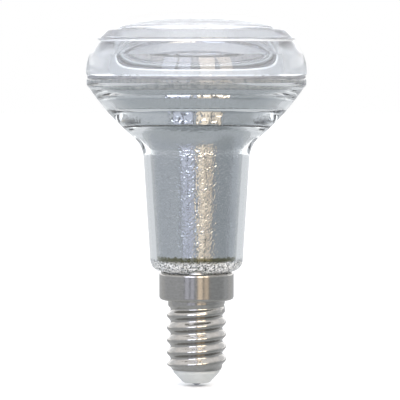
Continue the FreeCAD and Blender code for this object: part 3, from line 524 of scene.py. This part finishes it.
WETTED = 0.03                # set into the glass, so that no air shows between the two
squeezed = [(r + WETTED, z) for r, z in (BORE_HIGH, BORE_LOW, COAT_END)]
squeezed += [(MOUTH_R - 1.5, Z_COAT_END + 0.2), (MOUTH_R - 1.1, Z_MOUTH - 0.8),
             (MOUTH_R - 0.12, Z_MOUTH - 0.55), (MOUTH_R - 0.12, Z_MOUTH - 0.3)]
squeezed_silicone = turned("squeezed_silicone", squeezed, closed=True, sharp=80.0)
smeared = finish_named("smeared_silicone", 0.0, 0.4, (0.8, 0.8, 0.8))
smear_grain = grain(smeared, 0.9, stretch=(1, 1, 0.5))
mottle(smeared, smear_grain, (0.68, 0.70, 0.72), (1.0, 1.0, 1.0), 0.35, 0.55)
roughen(smeared, smear_grain, 0.03, 0.3, 0.5)
place(squeezed_silicone, smeared, "lens_seal")

SEAL_HEIGHT = 0.25
Z_SEAM = Z_MOUTH + SEAL_HEIGHT / 2
SEAM_DEPTH = 0.8
seam = [(BEAD_R - SEAM_DEPTH, Z_SEAM - 0.17), (BEAD_R - 0.28, Z_SEAM - 0.3), (BEAD_R - 0.16, Z_SEAM),
        (BEAD_R - 0.28, Z_SEAM + 0.28), (BEAD_R - SEAM_DEPTH, Z_SEAM + 0.17)]
seam_fillet = turned("seam_fillet", seam, closed=True, sharp=80.0)
grey_sealant = finish_named("grey_sealant", 0.0, 0.4, (0.36, 0.37, 0.39))
sealant_grain = grain(grey_sealant, 1.2, stretch=(1, 1, 0.4))
mottle(grey_sealant, sealant_grain, (0.20, 0.21, 0.23), (0.30, 0.31, 0.33))
roughen(grey_sealant, sealant_grain, 0.01, 0.35, 0.5)
place(seam_fillet, grey_sealant, "lens_seal")


# Driver: an upright green circuit board in the rails of a white housing that lines the neck.
# It has its parts on both sides, and the mirror and the cap hide all of it.
dress("driver_housing", white_moulding)

green_mask = finish_named("green_mask", 0.0, 0.3, (0.05, 0.22, 0.09))
green_grain = grain(green_mask, 0.6)
mottle(green_mask, green_grain, (0.03, 0.17, 0.07), (0.07, 0.27, 0.12))
roughen(green_mask, green_grain, 0.006, 0.2, 0.4)
dress("driver_board", green_mask)

black_moulding = finish_named("black_moulding", 0.0, 0.5, (0.03, 0.03, 0.035))
black_grain = grain(black_moulding, 0.2)
mottle(black_moulding, black_grain, (0.02, 0.02, 0.023), (0.05, 0.05, 0.055))
roughen(black_moulding, black_grain, 0.006, 0.4, 0.6)
for node in ("pin_header", "bridge_rectifier", "driver_chip", "output_diode", "chip_resistors"):
    dress(node, black_moulding)

gilt_pins = finish_named("gilt_pins", 1.0, 0.25, (0.85, 0.68, 0.34))
gilt_grain = grain(gilt_pins, 0.3, stretch=(1, 1, 6))
mottle(gilt_pins, gilt_grain, (0.78, 0.60, 0.28), (0.90, 0.74, 0.40))
roughen(gilt_pins, gilt_grain, 0.004, 0.2, 0.35)
dress("header_pins", gilt_pins)

can_sleeve = finish_named("can_sleeve", 0.0, 0.35, (0.03, 0.035, 0.05))
sleeve_grain = grain(can_sleeve, 0.8, stretch=(1, 1, 3))
mottle(can_sleeve, sleeve_grain, (0.02, 0.025, 0.04), (0.05, 0.055, 0.07))
roughen(can_sleeve, sleeve_grain, 0.006, 0.25, 0.45)
dress("input_capacitor", can_sleeve)
dress("output_capacitor", can_sleeve)

ferrite = finish_named("ferrite", 0.0, 0.6, (0.06, 0.06, 0.065))
ferrite_grain = grain(ferrite, 0.1)
mottle(ferrite, ferrite_grain, (0.04, 0.04, 0.045), (0.09, 0.09, 0.095))
roughen(ferrite, ferrite_grain, 0.01, 0.5, 0.75)
dress("choke_core", ferrite)

WIRE_PITCH = 0.35
BANDS_PER_UNIT = 20          # of the wave texture, at scale 1
enamelled_copper = finish_named("enamelled_copper", 1.0, 0.3, (0.6, 0.25, 0.1))
turns = add(enamelled_copper, "ShaderNodeTexWave", Scale=1 / (WIRE_PITCH * MM) / BANDS_PER_UNIT,
            bands_direction="Y", Distortion=0.4)
turns_place = add(enamelled_copper, "ShaderNodeTexCoord")
join(enamelled_copper, turns_place, "Object", turns, "Vector")
mottle(enamelled_copper, turns, (0.35, 0.12, 0.05), (0.72, 0.32, 0.14), 0.1, 0.8)
roughen(enamelled_copper, turns, 0.1, 0.25, 0.45)
dress("choke_winding", enamelled_copper)

lacquer = finish_named("resistor_lacquer", 0.0, 0.35, (0.2, 0.4, 0.35))
lacquer_grain = grain(lacquer, 0.5)
mottle(lacquer, lacquer_grain, (0.16, 0.34, 0.30), (0.26, 0.46, 0.41))
roughen(lacquer, lacquer_grain, 0.01, 0.25, 0.45)
dress("fusible_resistor", lacquer)


# Lens: one thick clear moulding with a cavity over the diodes, a sloping shoulder and a low dome.
# Its spigot stands in the mouth of the glass, and the seal holds it on the bead.
lens_low, lens_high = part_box("lens")
SPIGOT_DEPTH = 0.75
SPIGOT_GAP = 0.15
SPIGOT_R = MOUTH_R - SPIGOT_GAP
SPIGOT_CORNER = 0.3
LENS_R = lens_high[0] / MM
Z_LENS = lens_low[2] / MM + SPIGOT_DEPTH
LENS_CORNER = 0.8
LENS_BAND_HEIGHT = 0.9       # straight band over the bottom face
LENS_SIDE_R = 10.7           # the side curls in from the band ...
LENS_SIDE_LEAN = 22.9        # ... to this angle from the axis
UPPER_SIDE_WIDTH = 2.16
UPPER_SIDE_HEIGHT = 3.15
CREASE_STEP = 0.4            # fine ledge between the side and the shoulder, as wide as it is high
SHOULDER_HEIGHT = 1.95       # chamfer of 45 degrees up to the deck
DOME_R = 18.0
DOME_HEIGHT = 3.15
DOME_STEPS = 24
LENS_THICKNESS = 6.0         # on the axis
LENS_WALL = 5.2
CAVITY_R = LENS_R - LENS_WALL
CAVITY_CORNER = 0.5

lens_side = [(LENS_R - LENS_CORNER, Z_LENS)]
lens_side += curl(lens_side[-1], LENS_CORNER, 90.0, 0.0, 5)
lens_side.append((LENS_R, Z_LENS + LENS_BAND_HEIGHT))
lens_side += curl(lens_side[-1], LENS_SIDE_R, 0.0, -LENS_SIDE_LEAN, 14)
CREASE = (lens_side[-1][0] - UPPER_SIDE_WIDTH, lens_side[-1][1] + UPPER_SIDE_HEIGHT)
SHOULDER_R = CREASE[0] + CREASE_STEP
Z_CHAMFER = CREASE[1] + CREASE_STEP
lens_side += [CREASE, (SHOULDER_R - 0.08, Z_CHAMFER - 0.22), (SHOULDER_R - 0.01, Z_CHAMFER - 0.1),
              (SHOULDER_R - 0.05, Z_CHAMFER + 0.03)]
DECK_R = SHOULDER_R - SHOULDER_HEIGHT
Z_DECK = Z_CHAMFER + SHOULDER_HEIGHT
lens_side += [(DECK_R + 0.35, Z_DECK - 0.35), (DECK_R + 0.12, Z_DECK - 0.15), (DECK_R - 0.15, Z_DECK - 0.04),
              (DECK_R - 0.5, Z_DECK)]

lens_top = []
for i in range(DOME_STEPS):
    t = math.radians(90.0) * i / DOME_STEPS
    lens_top.append((DOME_R * math.cos(t), Z_DECK + DOME_HEIGHT * math.sin(t)))
lens_top.append((0.0, Z_DECK + DOME_HEIGHT))

Z_CEILING = Z_DECK + DOME_HEIGHT - LENS_THICKNESS
lens_cavity = [(0.0, Z_CEILING), (CAVITY_R - CAVITY_CORNER, Z_CEILING)]
lens_cavity += curl(lens_cavity[-1], CAVITY_CORNER, 90.0, 180.0, 6)
lens_cavity += [(CAVITY_R, Z_LENS - SPIGOT_DEPTH), (SPIGOT_R - SPIGOT_CORNER, Z_LENS - SPIGOT_DEPTH)]
lens_cavity += curl(lens_cavity[-1], SPIGOT_CORNER, 90.0, 0.0, 2)
lens_cavity.append((SPIGOT_R, Z_LENS))

clear_lens = finish_named("clear_lens", 0.0, 0.0, (0.95, 0.97, 0.995))
shader_of(clear_lens).inputs["IOR"].default_value = 1.48
flow_marks = grain(clear_lens, 6.0, stretch=(1, 1, 0.6), detail=1.0)
roughen(clear_lens, flow_marks, 0.004, 0.0, 0.01)

# The edge where the two halves of the mould met, under the shoulder, is left matt.
Z_MATT = CREASE[1] - 0.1
MATT_HALF = 0.08
MATT_END = 0.3
from_crease = worked_out(clear_lens, "SUBTRACT", (height_on(clear_lens), "Z"), Z_MATT * MM)
crease_distance = worked_out(clear_lens, "ABSOLUTE", (from_crease, "Value"))
clearness = ranged(clear_lens, crease_distance, "Value", MATT_HALF * MM, MATT_END * MM, 0.3, 0.9)
join(clear_lens, clearness, "Result", shader_of(clear_lens), "Transmission Weight")
lens = turned("clear_lens", lens_side + lens_top + lens_cavity, closed=True, sharp=12.0)
place(lens, clear_lens, "lens", "lens")


# Studio: a pale floor and a white room behind the lamp, with four tall soft windows in front.
# Each window shows a bright sky over a dim ground, and its dark frame parts it from its neighbour.
# The floor isn't seen in reflections, so the windows show down the whole of the neck.
EYE_DISTANCE = 600.0
EYE_HEIGHT = 74.0
TARGET_HEIGHT = 42.0
FLOOR_HALF = 3000.0
FLOOR_DROP = 0.2
WINDOW_DISTANCE = 1500.0
WINDOW_TARGET = 45.0
FRAME_BOARD = 110.0          # how much wider the dark board behind a window is than its light
FRAME_SETBACK = 10.0


def look_at(thing, target):
    towards = (target - thing.location).normalized()
    thing.rotation_euler = towards.to_track_quat("-Z", "Y").to_euler()


camera_data = bpy.data.cameras.new("camera")
camera_data.sensor_width = 36.0
camera_data.lens = 238.0
camera_data.clip_start = 0.01
camera_data.shift_x = 0.00875
camera_data.shift_y = 0.002
camera = bpy.data.objects.new("camera", camera_data)
bpy.context.collection.objects.link(camera)
camera.location = Vector((0, -EYE_DISTANCE, EYE_HEIGHT)) * MM
look_at(camera, Vector((0, 0, TARGET_HEIGHT)) * MM)
bpy.context.scene.camera = camera

floor_shape = bmesh.new()
bmesh.ops.create_grid(floor_shape, x_segments=1, y_segments=1, size=FLOOR_HALF * MM)
bmesh.ops.translate(floor_shape, verts=floor_shape.verts, vec=(0, 0, -FLOOR_DROP * MM))
floor = piece_of(floor_shape, "floor")
pale_floor = finish_named("pale_floor", 0.0, 0.9, (0.93, 0.93, 0.93))
shader_of(pale_floor).inputs["Emission Color"].default_value = (1, 1, 1, 1)
shader_of(pale_floor).inputs["Emission Strength"].default_value = 0.15
floor.data.materials.append(pale_floor)
floor.visible_glossy = False
floor.visible_transmission = False

frame_paint = finish_named("frame_paint", 0.0, 0.6, (0.05, 0.05, 0.05))


def window(name, azimuth, elevation, width, height, colour, radiance):
    """A soft light in a dark frame; its place and its sizes are angles in degrees, as seen from the lamp."""
    reach = WINDOW_DISTANCE * MM
    across = 2 * reach * math.tan(math.radians(width / 2))
    upright = 2 * reach * math.tan(math.radians(height / 2))
    light = bpy.data.lights.new(name, "AREA")
    light.shape = "RECTANGLE"
    light.size = across
    light.size_y = upright
    light.energy = radiance * math.pi * across * upright
    light.color = colour
    pane = bpy.data.objects.new(name, light)
    bpy.context.collection.objects.link(pane)

    board_shape = bmesh.new()
    board_size = (across + FRAME_BOARD * MM, upright + FRAME_BOARD * MM, 1)
    bmesh.ops.create_grid(board_shape, x_segments=1, y_segments=1, size=0.5)
    bmesh.ops.scale(board_shape, verts=board_shape.verts, vec=board_size)
    bmesh.ops.translate(board_shape, verts=board_shape.verts, vec=(0, 0, FRAME_SETBACK * MM))
    board = piece_of(board_shape, name + "_frame")
    board.data.materials.append(frame_paint)

    a = math.radians(azimuth)
    e = math.radians(elevation)
    lamp_middle = Vector((0, 0, WINDOW_TARGET * MM))
    outwards = Vector((math.sin(a) * math.cos(e), -math.cos(a) * math.cos(e), math.sin(e)))
    for thing in (pane, board):
        thing.location = lamp_middle + reach * outwards
        look_at(thing, lamp_middle)


COOL = (0.80, 0.84, 1.0)
WARM = (1.0, 0.85, 0.68)
SKY = 7.0
GROUND = 1.25
for part, elevation, height, radiance in (("sky", 22.0, 30.0, SKY), ("ground", -8.5, 29.0, GROUND)):
    window("cool_left_" + part, -29.0, elevation, 14.0, height, COOL, 0.72 * radiance)
    window("cool_right_" + part, -12.5, elevation, 12.0, height, COOL, 0.72 * radiance)
    window("warm_left_" + part, 11.5, elevation, 15.0, height, WARM, radiance)
    window("warm_right_" + part, 31.0, elevation, 13.0, height, WARM, 0.75 * radiance)

# The camera sees plain white behind the lamp. Reflections see a bright panel behind it, between the edge of a
# table and a dimmer cornice, and in front a grey room: white ceiling, grey table and a dim right corner.
room = bpy.data.worlds.new("room")
room.use_nodes = True


def rising(source, output, low, high):
    """A smooth step from 0 to 1 between two values, as a node with the name of its output."""
    step = ranged(room, source, output, low, high)
    step.interpolation_type = "SMOOTHSTEP"
    return step, "Result"


def blended(share, first, second, blend_type="MIX"):
    """Goes from the first colour to the second by share; each may be a node with the name of its output."""
    blend = add(room, "ShaderNodeMix", data_type="RGBA", blend_type=blend_type)
    feed(room, share, blend, "Factor")
    feed(room, first, blend, "A")
    feed(room, second, blend, "B")
    return blend, "Result"


gaze = add(room, "ShaderNodeTexCoord")
direction = add(room, "ShaderNodeSeparateXYZ")
join(room, gaze, "Generated", direction, "Vector")

WALL_TONES = [(0.15, (0.56, 0.59, 0.62)), (0.45, (0.53, 0.56, 0.61)), (0.53, (0.74, 0.77, 0.82)),
              (0.65, (0.80, 0.83, 0.87)), (0.80, (0.9, 0.9, 0.92))]
up_the_wall = ranged(room, direction, "Z", -1.0, 1.0)
walls = tones(room, up_the_wall, "Result", WALL_TONES)
room_front = blended(rising(direction, "Z", 0.35, 0.75), (walls, "Color"), (1.2, 1.2, 1.23, 1))

sideways = worked_out(room, "ABSOLUTE", (direction, "X"))
panel = blended(rising(sideways, "Value", 0.12, 0.3), (2.1, 2.1, 2.1, 1), (1.7, 1.72, 1.75, 1))
over_table = blended(rising(direction, "Z", 0.12, 0.05), panel, (0.38, 0.39, 0.40, 1), "MULTIPLY")
room_back = blended(rising(direction, "Z", 0.2, 0.3), over_table, (0.62, 0.63, 0.65, 1), "MULTIPLY")

back = rising(direction, "Y", 0.35, 0.5)
above_floor = rising(direction, "Z", -0.75, -0.45)
behind = worked_out(room, "MULTIPLY", back, above_floor)
whole_room = blended((behind, "Value"), room_front, room_back)
right = rising(direction, "X", 0.45, 0.75)
front = rising(direction, "Y", 0.2, -0.1)
in_corner = worked_out(room, "MULTIPLY", right, front)
dimmed = blended((in_corner, "Value"), whole_room, (0.74, 0.75, 0.74, 1), "MULTIPLY")
light_path = add(room, "ShaderNodeLightPath")
seen = blended((light_path, "Is Camera Ray"), dimmed, (1, 1, 1, 1))
feed(room, seen, room.node_tree.nodes["Background"], "Color")
bpy.context.scene.world = room
bpy.context.scene.view_settings.view_transform = "Standard"

# At the edges of the cone, light runs many times between the mirror and the outside of the glass.
light_limits = bpy.context.scene.cycles
light_limits.max_bounces = 32
light_limits.glossy_bounces = 24
light_limits.transmission_bounces = 32
